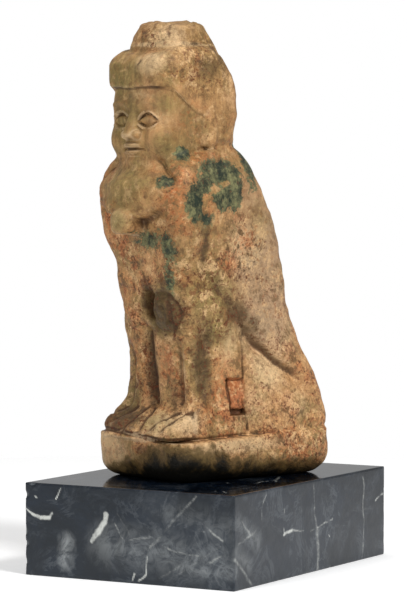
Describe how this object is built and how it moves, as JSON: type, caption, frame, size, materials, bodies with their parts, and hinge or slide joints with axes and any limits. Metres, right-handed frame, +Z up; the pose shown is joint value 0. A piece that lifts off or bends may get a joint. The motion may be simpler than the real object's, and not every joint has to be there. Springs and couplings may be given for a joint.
{
  "type": "ba bird statuette",
  "caption": "Upright carved stone statuette of a human-headed creature with wig, long beard, puffed breast and toed paws, on a low base, standing on a polished black marble plinth.",
  "frame": {"origin": "centre of the plinth's underside", "axes": "+Z up, -Y towards the plinth's short front face, +X towards the side that the picture shows on the right"},
  "size_m": [0.0776, 0.103, 0.1792],
  "materials": {
    "statuette": "weathered, pitted and stained",
    "marble_plinth": "polished"
  },
  "bodies": {
    "root": {"statuette": "statuette", "marble_plinth": "marble_plinth"}
  },
  "joints": []
}
